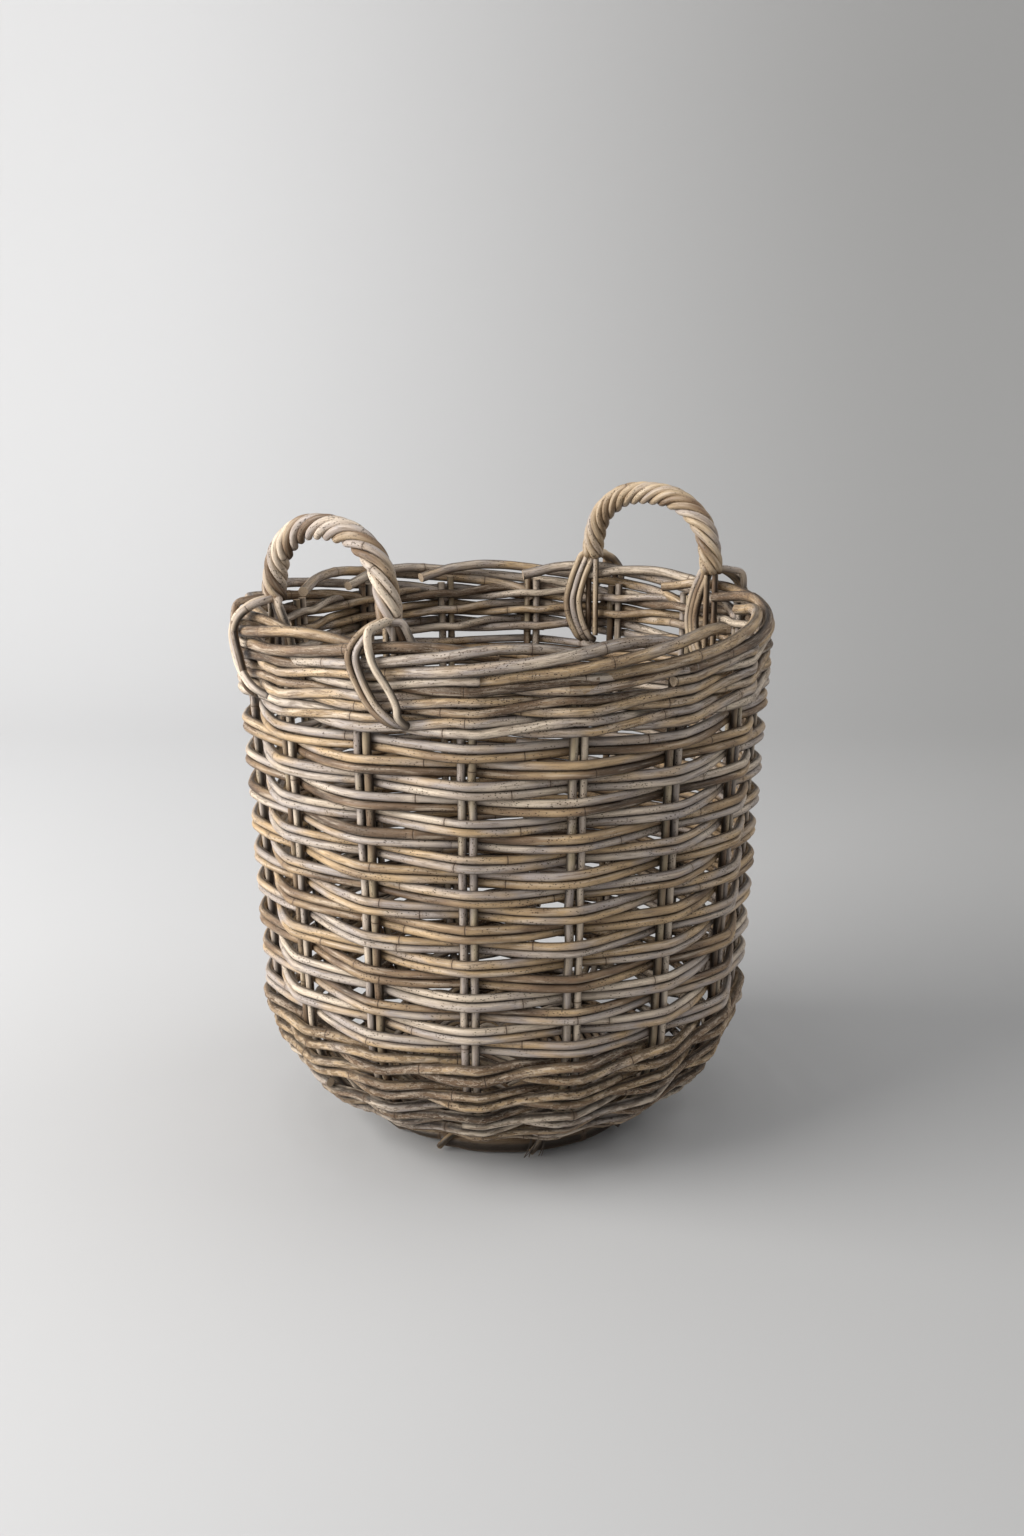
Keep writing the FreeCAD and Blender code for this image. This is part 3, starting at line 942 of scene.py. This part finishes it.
@dataclass
class Upsett:
    """Six wale rows of thick bark-covered cane that turn the base up into the wall."""

    wall: Wall
    rows: int = 6
    highest: float = 12.7
    lowest: float = 83.0
    radius: float = 4.2
    low_radius: float = 3.6
    offset: float = 9.0
    seed: int = 37

    def make(self, maker: CaneMaker) -> None:
        """Makes one piece for each row.

        Args:
            maker: sweeps and dresses the canes.
        """
        rng = np.random.default_rng(self.seed)
        growth = Growth(internode=150.0, knuckle=0.1, uneven=0.1, wander=0.5, relief=0.22)
        for row in range(self.rows):
            share = row / (self.rows - 1)
            degrees = self.highest + (self.lowest - self.highest) * share
            radius, height, out, down = self.wall.bend(degrees)
            thick = self.radius + (self.low_radius - self.radius) * share
            wale = Wale(self.wall, (radius, height), (out, down), self.offset - 0.5 * share,
                        1.46 * thick, thick, 4 * row)
            maker.piece("upsett_row_%d" % (row + 1), wale.rods(rng), Finish.BARK, growth,
                        ["upsett_wale_row_%d" % (row + 1)])


@dataclass
class RimWale:
    """Three wale rows that hold the wall below the border."""

    wall: Wall
    rows: int = 3
    first: float = 409.0
    pitch: float = 16.0
    radius: float = 3.9
    offset: float = 8.0
    spread: float = 4.1
    seed: int = 41

    def make(self, maker: CaneMaker) -> None:
        """Makes one piece for each row.

        Args:
            maker: sweeps and dresses the canes.
        """
        rng = np.random.default_rng(self.seed)
        growth = Growth(uneven=0.09, wander=0.45, relief=0.16)
        for row in range(self.rows):
            height = self.first + row * self.pitch
            wale = Wale(self.wall, (self.wall.radius(height), height), (1.0, 0.0), self.offset,
                        self.spread, self.radius, 5 * row)
            maker.piece("rim_row_%d" % (row + 1), wale.rods(rng), Finish.RIM, growth,
                        ["rim_wale_row_%d" % (row + 1)])


@dataclass
class Border:
    """The rolled border: every stake bends right, runs outside and turns in over the top."""

    wall: Wall
    radius: float = 4.5
    seed: int = 53

    # Stake steps to the right, distance outside the stake circle, and height.
    ROUTE = ((0.0, 0.0, 434.0), (0.1, 1.0, 443.0), (0.45, 5.5, 449.0), (0.95, 9.0, 453.0),
             (1.5, 9.0, 458.5), (2.0, 6.5, 464.5), (2.45, 0.5, 468.6), (2.85, -6.5, 467.0),
             (3.1, -11.5, 463.0), (3.3, -16.0, 460.0))

    def make(self, maker: CaneMaker) -> None:
        """Makes the border as one piece of sixteen bent stakes.

        Args:
            maker: sweeps and dresses the canes.
        """
        rng = np.random.default_rng(self.seed)
        canes = []
        for pair in range(self.wall.pairs):
            lift = rng.normal(0, 0.7)
            reach = rng.uniform(0.92, 1.06)
            places = []
            for share, out, height in self.ROUTE:
                index = pair + share * (reach if share > 1 else 1.0)
                bulge = out + rng.normal(0, 0.3)
                places.append(polar(self.wall.rim_radius + bulge, self.wall.angle(index),
                                    height + lift * min(1.0, share)))
            canes.append(Cane(np.array(places), self.radius + rng.uniform(-0.4, 0.4),
                              rng.random()))
        growth = Growth(internode=170.0, knuckle=0.09, uneven=0.09, wander=0.5, relief=0.25)
        maker.piece("border_canes", canes, Finish.RIM, growth, ["border_plait", "border_cap"])


@dataclass
class Base:
    """Twined rows of the base and the binding round its crossed centre."""

    wall: Wall
    rows: int = 7
    first: float = 62.0
    pitch: float = 8.2
    offset: float = 7.4
    binding_radius: float = 48.0
    binding_offset: float = 10.4
    radius: float = 3.5
    seed: int = 61

    def twined(self, radius: float, offset: float, start: int,
               rng: np.random.Generator) -> list[Cane]:
        """Two strands that change from over to under between the stake pairs.

        Args:
            radius: radius of the row.
            offset: how far the strands pass above and below.
            start: the stake pair that they start at.
            rng: the piece's random draws.

        Returns:
            The strands.
        """
        strands = []
        for strand in (1, -1):
            places = []
            for half in range(2 * self.wall.pairs + 1):
                index = start + half / 2
                turn = math.pi * (half / 2)
                height = self.wall.base_height + strand * offset * math.cos(turn)
                sway = strand * self.radius * 0.55 * math.sin(turn)
                places.append(polar(radius + sway + rng.normal(0, 0.2), self.wall.angle(index),
                                    height))
            strands.append(Cane(np.array(places), self.radius + rng.uniform(-0.2, 0.2),
                                rng.random()))
        return strands

    def make(self, maker: CaneMaker) -> None:
        """Makes the binding and the rows.

        Args:
            maker: sweeps and dresses the canes.
        """
        rng = np.random.default_rng(self.seed)
        binding = self.twined(self.binding_radius, self.binding_offset, 0, rng)
        maker.piece("base_binding_canes", binding, Finish.BASE, Growth(), ["base_binding"])
        for row in range(self.rows):
            canes = self.twined(self.first + row * self.pitch, self.offset, row, rng)
            maker.piece("base_row_%d" % (row + 1), canes, Finish.BASE, Growth(),
                        ["base_weave_row_%d" % (row + 1)])


@dataclass
class Foot:
    """The thick hoop that the basket stands on, and the lashings that hold it."""

    wall: Wall
    hoop_radius: float = 116.0
    thick: float = 7.4
    lift: float = 8.8
    lashings: tuple[float, ...] = (-157.5, -119.9, -77.0, -30.0, 14.0, 60.0, 106.0, 152.0)
    lashing_radius: float = 2.8
    whiskers: int = 5
    whisker_radius: float = 0.4
    seed: int = 71

    # Degrees that the hoop's cane runs, where its end thins and where it passes inside its start.
    RUN, SCARF, LAP = 376.0, 340.0, 350.0
    # Degrees that the joint is turned by, and how far inwards and upwards the end passes.
    SEAM, LAP_IN, LAP_UP = 200.0, 9.0, 3.0
    # Degrees round the hoop's section that a lashing passes, from the inside over the top.
    HOOK = (150, 120, 90, 60, 30, 0, -28)
    # Height of a whisker's root above the hoop's middle, how far it drops and how far it leans out.
    WHISKER_ROOT, WHISKER_DROP, WHISKER_OUT = 12.0, 19.0, 3.0

    def make(self, maker: CaneMaker) -> None:
        """Makes the hoop and its lashings.

        Args:
            maker: sweeps and dresses the canes.
        """
        rng = np.random.default_rng(self.seed)
        turns = np.linspace(0.0, self.RUN, 96)
        places = []
        for turn in turns:
            lap = max(0.0, (turn - self.LAP) / (self.RUN - self.LAP))
            places.append(polar(self.hoop_radius - self.LAP_IN * lap, turn + self.SEAM,
                                self.lift + self.LAP_UP * lap))
        thick = np.full(len(turns), self.thick)
        thick[turns > self.SCARF] = self.thick * 0.62
        thick[turns < 10.0] = self.thick * 0.9
        growth = Growth(segment=4.0, sides=20, internode=120.0, knuckle=0.07, uneven=0.05,
                        wander=0.5, relief=0.3)
        maker.piece("hoop_cane", [Cane(np.array(places), thick, 0.35)], Finish.HOOP, growth,
                    ["foot_hoop"])
        canes = []
        reach = self.thick + self.lashing_radius * 0.9
        for angle in self.lashings:
            places = []
            for degrees in self.HOOK:
                turn = math.radians(degrees)
                slant = (degrees - 10) / 7.0
                places.append(polar(self.hoop_radius + reach * math.cos(turn), angle,
                                    self.lift + reach * math.sin(turn), slant))
            canes.append(Cane(np.array(places), self.lashing_radius, rng.random()))
        for _ in range(self.whiskers):
            angle = self.lashings[1] + rng.uniform(-6, 4)
            lean = rng.uniform(-6, 9)
            places = [polar(self.hoop_radius + reach + self.WHISKER_OUT * share,
                            angle + lean * share * share,
                            self.lift + self.WHISKER_ROOT - self.WHISKER_DROP * share)
                      for share in np.linspace(0, 1, 6)]
            canes.append(Cane(np.array(places), self.whisker_radius, rng.random()))
        maker.piece("lashing_canes", canes, Finish.LASHING, Growth(segment=2.0, wander=0.2),
                    ["foot_lashings"])


@dataclass
class Handle:
    """One fixed hoop handle: core canes, six strands twisted round them, and their ends."""

    name: str
    turn: float
    seed: int
    bias: float = 1.0
    leg_radius: float = 203.3
    leg_angle: float = 21.6
    rim: float = 475.8
    top: float = 548.0
    foot: float = 404.5
    rope_start: float = 482.0
    strands: int = 6
    turns: float = 3.35
    offset: float = 7.4
    radius: float = 3.15
    core_radius: float = 2.8
    stations: int = 64

    # Shape of the arch: sideways place as a share of the leg's, and height as a share of the
    # way from the rim to the top.
    ARCH = ((1.0, 0.0), (0.985, 0.25), (0.87, 0.62), (0.52, 0.91), (0.0, 1.0))
    # Ends of the strands that cross the rim outwards: distance from the axis, degrees to the
    # right of the leg, and height. The first two lie side by side and the third apart.
    LEFT_LOOP = ((212.0, -1.0, 484.0), (224.0, -1.9, 481.0), (235.0, -2.9, 474.0),
                 (238.5, -4.1, 462.0), (238.0, -3.2, 446.0), (237.5, -0.6, 427.0),
                 (236.5, 2.2, 415.5), (230.0, 4.2, 409.5), (218.0, 5.4, 407.0))
    RIGHT_LOOP = ((212.0, 0.8, 485.0), (224.0, 0.2, 483.5), (235.0, -0.4, 479.0),
                  (238.5, 0.9, 458.0), (238.0, 3.9, 439.0), (237.0, 5.4, 426.0),
                  (236.0, 5.6, 417.0), (229.0, 6.4, 410.0), (218.0, 7.0, 407.0))
    SWEEP_LOOP = ((212.0, 1.4, 484.0), (224.0, 1.7, 481.0), (235.5, 1.0, 472.0),
                  (238.5, -0.9, 459.0), (238.2, -0.8, 446.0), (237.5, 1.6, 433.0),
                  (237.0, 5.2, 424.5), (236.0, 9.0, 418.5), (229.0, 11.5, 413.0))
    # Ends of the strands that run down inside the wall.
    INSIDE_END = ((205.0, 1.2, 483.0), (203.5, 2.4, 475.0), (200.0, 3.9, 459.0),
                  (198.5, 5.2, 438.0), (198.5, 4.2, 419.0), (200.0, 2.2, 404.0),
                  (206.0, 1.4, 399.5))
    # Degrees between two ends that lie side by side, outside and inside, and how much further
    # right the inside ends of the left leg are.
    OUTSIDE_APART, INSIDE_APART, LEFT_INSIDE = 1.65, 1.85, 1.6

    def arch(self) -> np.ndarray:
        """Middle line of the arch, from the left leg to the right.

        Returns:
            Evenly spaced places.
        """
        leg_x = self.leg_radius * math.cos(math.radians(self.leg_angle))
        leg_y = self.leg_radius * math.sin(math.radians(self.leg_angle))
        rise = self.top - self.rim
        half = [(-leg_y * side, self.rim + rise * up) for side, up in self.ARCH]
        shape = np.array(half + [(-y, z) for y, z in reversed(half[:-1])])
        chord = np.r_[0, np.cumsum(np.hypot(*np.diff(shape, axis=0).T))]
        fine = np.linspace(0, chord[-1], 600)
        smooth = np.stack([self.spline(chord, shape[:, axis], fine) for axis in (0, 1)], axis=1)
        length = np.r_[0, np.cumsum(np.hypot(*np.diff(smooth, axis=0).T))]
        even = np.linspace(0, length[-1], self.stations)
        line = np.stack([np.interp(even, length, smooth[:, axis]) for axis in (0, 1)], axis=1)
        return np.c_[np.full(len(line), leg_x), line]

    @staticmethod
    def spline(knots: np.ndarray, values: np.ndarray, at: np.ndarray) -> np.ndarray:
        """Smooth curve through the knots, by cubic pieces with averaged slopes.

        Args:
            knots: where the values are known.
            values: the known values.
            at: where the curve is wanted.

        Returns:
            The curve's values.
        """
        slopes = np.gradient(values, knots)
        place = np.clip(np.searchsorted(knots, at) - 1, 0, len(knots) - 2)
        width = knots[place + 1] - knots[place]
        share = (at - knots[place]) / width
        cube, square = share ** 3, share ** 2
        return ((2 * cube - 3 * square + 1) * values[place]
                + (cube - 2 * square + share) * width * slopes[place]
                + (3 * square - 2 * cube) * values[place + 1]
                + (cube - square) * width * slopes[place + 1])

    def turned(self, places: list | np.ndarray) -> np.ndarray:
        """Places turned from the +X handle to this one.

        Args:
            places: places of the +X handle.

        Returns:
            The same places of this handle.
        """
        angle = math.radians(self.turn)
        turn = np.array([[math.cos(angle), -math.sin(angle), 0],
                         [math.sin(angle), math.cos(angle), 0], [0, 0, 1]])
        return np.asarray(places, float) @ turn.T

    def over_rim(self, leg: int, number: int) -> list[Place]:
        """End of a strand that crosses the rim outwards and down to the wall's row of holes.

        Args:
            leg: -1 for the left leg, 1 for the right.
            number: its place at the leg, -1 to 1.

        Returns:
            The places, from the rope downwards.
        """
        if number > 0:
            route, aside = self.RIGHT_LOOP, 0.0
        else:
            route = self.LEFT_LOOP if leg > 0 else self.SWEEP_LOOP
            aside = self.OUTSIDE_APART * (number + 1)
        return [polar(radius, leg * self.leg_angle + right + aside, height)
                for radius, right, height in route]

    def inside_rim(self, leg: int, number: int) -> list[Place]:
        """End of a strand that slants right over the rim and runs down inside the wall.

        Args:
            leg: -1 for the left leg, 1 for the right.
            number: its place at the leg, -1 to 1.

        Returns:
            The places, from the rope downwards.
        """
        aside = self.INSIDE_APART * number + (self.LEFT_INSIDE if leg < 0 else 0.0)
        return [polar(radius, leg * self.leg_angle + right + aside, height)
                for radius, right, height in self.INSIDE_END]

    def make(self, maker: CaneMaker) -> None:
        """Makes the core, the strands and their ends as two pieces.

        Args:
            maker: sweeps and dresses the canes.
        """
        rng = np.random.default_rng(self.seed)
        arch = self.arch()
        tangents = np.gradient(arch, axis=0)
        tangents /= np.linalg.norm(tangents, axis=1)[:, None]
        face = np.tile((1.0, 0.0, 0.0), (len(arch), 1))
        out = np.cross(face, tangents)
        share = np.linspace(0, 1, len(arch))
        twist = 2 * math.pi * self.turns * share ** self.bias
        inner = arch[:, 2] >= self.rope_start

        cores = []
        for side in (-1, 1):
            spread = 2.6 + 2.2 * np.clip((self.rope_start + 8 - arch[:, 2]) / 12, 0, 1)
            line = arch + out * side * spread[:, None]
            foot_low = line[0] * (1, 1, 0) + (0, 0, self.foot)
            foot_high = line[-1] * (1, 1, 0) + (0, 0, self.foot)
            places = np.vstack([foot_low, line, foot_high])
            cores.append(Cane(self.turned(places), self.core_radius, rng.random()))
        maker.piece(self.name + "_core_canes", cores, Finish.HANDLE, Growth(wander=0.1),
                    [self.name + "_core"])

        canes = []
        for strand in range(self.strands):
            angle = twist + 2 * math.pi * (strand + 0.5) / self.strands
            around = face * np.cos(angle)[:, None] + out * np.sin(angle)[:, None]
            rope = (arch + around * self.offset)[inner]
            ends = []
            for leg, turned in ((-1, angle[inner][0]), (1, angle[inner][-1])):
                turned = (math.degrees(turned) + 90.0) % 360.0
                number = int(turned % 180.0 // 60.0)
                if turned < 180.0:
                    order = 2 - number if leg < 0 else number
                    ends.append(self.inside_rim(leg, order - 1))
                else:
                    order = number if leg < 0 else 2 - number
                    ends.append(self.over_rim(leg, order - 1))
            places = np.vstack([ends[0][::-1], rope, ends[1]])
            canes.append(Cane(self.turned(places), self.radius + rng.uniform(-0.15, 0.15),
                              rng.random()))
        growth = Growth(segment=2.6, internode=260.0, knuckle=0.05, uneven=0.05, wander=0.15,
                        relief=0.08)
        maker.piece(self.name + "_rope_canes", canes, Finish.HANDLE, growth,
                    [self.name + "_roping", self.name + "_left_leg_loops",
                     self.name + "_right_leg_loops"])


# ----------------------------------------------------------------------------- studio


@dataclass
class Studio:
    """Pale seamless sweep, soft light from the left, and the camera. Lengths are metres."""

    azimuth: float = -43.2
    pitch: float = 15.18
    distance: float = 1.438
    height: float = 0.708
    lens: float = 39.1
    shift: float = 0.0054

    # Paper on the left and on the right, painted lighter on the left and darker on the right as
    # painted falloff of the window's light, and how far right of the middle it starts and ends to
    # change.
    PAPER_LIT_TO_SHADED = ((0.62, 0.62, 0.625), (0.365, 0.362, 0.358))
    SHADE_FADE = (-0.9, 1.1)

    def place(self, left: float, near: float, up: float) -> Vector:
        """Place to the left of the camera's view, towards the camera, and up.

        Args:
            left: metres to the left.
            near: metres towards the camera.
            up: metres up.

        Returns:
            The place.
        """
        turn = math.radians(self.azimuth)
        right = Vector((math.cos(turn), math.sin(turn), 0))
        back = Vector((math.sin(turn), -math.cos(turn), 0))
        return back * near - right * left + Vector((0, 0, up))

    def camera(self) -> None:
        """Camera that looks down on the rim."""
        data = bpy.data.cameras.new("camera")
        data.lens = self.lens
        data.sensor_width = 36.0
        data.shift_x = self.shift
        camera = bpy.data.objects.new("camera", data)
        camera.location = self.place(0.0, self.distance, self.height)
        camera.rotation_euler = (math.radians(90.0 - self.pitch), 0, math.radians(self.azimuth))
        bpy.context.scene.collection.objects.link(camera)
        bpy.context.scene.camera = camera

    def light(self, name: str, size: tuple[float, float], power: float, at: Vector,
              target: Vector, colour: Colour) -> None:
        """One soft rectangular light.

        Args:
            name: the light's name.
            size: its width and height.
            power: its strength in watts.
            at: where it stands.
            target: what it faces.
            colour: its colour.
        """
        data = bpy.data.lights.new(name, "AREA")
        data.shape = "RECTANGLE"
        data.size, data.size_y = size
        data.energy = power
        data.color = colour
        lamp = bpy.data.objects.new(name, data)
        lamp.location = at
        lamp.rotation_euler = (target - at).to_track_quat("-Z", "Y").to_euler()
        bpy.context.scene.collection.objects.link(lamp)

    def sweep(self) -> None:
        """Floor that curves up into a backdrop, with painted light falloff from left to right."""
        wide, deep, bend, high = 5.0, 2.6, 1.2, 4.0
        profile = [(-4.0, 0.0), (deep - bend, 0.0)]
        for step in range(1, 17):
            turn = math.radians(90.0 * step / 16)
            profile.append((deep - bend + bend * math.sin(turn), bend - bend * math.cos(turn)))
        profile.append((deep, high))
        points, faces = [], []
        for far, up in profile:
            points.extend(tuple(self.place(side * wide, -far, up)) for side in (1, -1))
        for step in range(len(profile) - 1):
            corner = 2 * step
            faces.append((corner, corner + 1, corner + 3, corner + 2))
        mesh = bpy.data.meshes.new("studio_sweep")
        mesh.from_pydata(points, [], faces)
        mesh.polygons.foreach_set("use_smooth", [True] * len(faces))
        sweep = bpy.data.objects.new("studio_sweep", mesh)
        bpy.context.scene.collection.objects.link(sweep)
        paper = bpy.data.materials.new("paper")
        paper.use_nodes = True
        paper.node_tree.nodes.clear()
        tree = Tree(paper.node_tree)
        # Painted light falloff: the paper's colour runs from light on the left, nearer the window,
        # to dark on the right.
        where = tree.out(tree.add("ShaderNodeTexCoord"), "Object")
        turn = math.radians(self.azimuth)
        across = tree.vector("DOT_PRODUCT", where, (math.cos(turn), math.sin(turn), 0.0))
        paint = CaneFinish.mixed(tree, across.step(*self.SHADE_FADE), *self.PAPER_LIT_TO_SHADED)
        shader = tree.made("ShaderNodeBsdfPrincipled",
                           {"Base Color": paint, "Roughness": 0.9, "Specular IOR Level": 0.1})
        tree.add("ShaderNodeOutputMaterial", {"Surface": shader})
        mesh.materials.append(paper)

    def world(self) -> None:
        """Dim even light from all round."""
        world = bpy.data.worlds.new("studio_world")
        world.use_nodes = True
        world.node_tree.nodes.clear()
        tree = Tree(world.node_tree)
        glow = tree.made("ShaderNodeBackground", {"Color": (0.95, 0.97, 1.0, 1.0),
                                                  "Strength": 0.4})
        tree.add("ShaderNodeOutputWorld", {"Surface": glow})
        bpy.context.scene.world = world

    def make(self) -> None:
        """Sets the studio up."""
        self.camera()
        self.sweep()
        self.world()
        middle = Vector((0, 0, 0.25))
        self.light("window", (3.0, 3.0), 205.0, self.place(3.0, 1.0, 1.8), middle,
                   (1.0, 0.985, 0.96))
        self.light("top", (1.6, 1.6), 5.0, self.place(0.3, -0.3, 2.4), middle, (1.0, 1.0, 1.0))
        self.light("fill", (2.4, 2.4), 26.0, self.place(-2.3, -0.4, 2.2),
                   self.place(-0.5, 0.0, 0.0), (1.0, 0.99, 0.97))
        bpy.context.scene.view_settings.view_transform = "Standard"


# ------------------------------------------------------------------------------- build


def main() -> None:
    """Builds the basket piece by piece, then the studio round it."""
    logging.basicConfig(level=logging.INFO, format="%(name)s: %(message)s")
    wall = Wall()
    maker = CaneMaker(wall)
    assemblies = [Stakes(wall), SideWeave(wall), Upsett(wall), RimWale(wall), Border(wall),
                  Base(wall), Foot(wall), Handle("handle_a", 0.0, 83),
                  Handle("handle_b", 180.0, 97, bias=0.85)]
    for assembly in assemblies:
        assembly.make(maker)
    Studio().make()


if __name__ == "__main__":
    main()
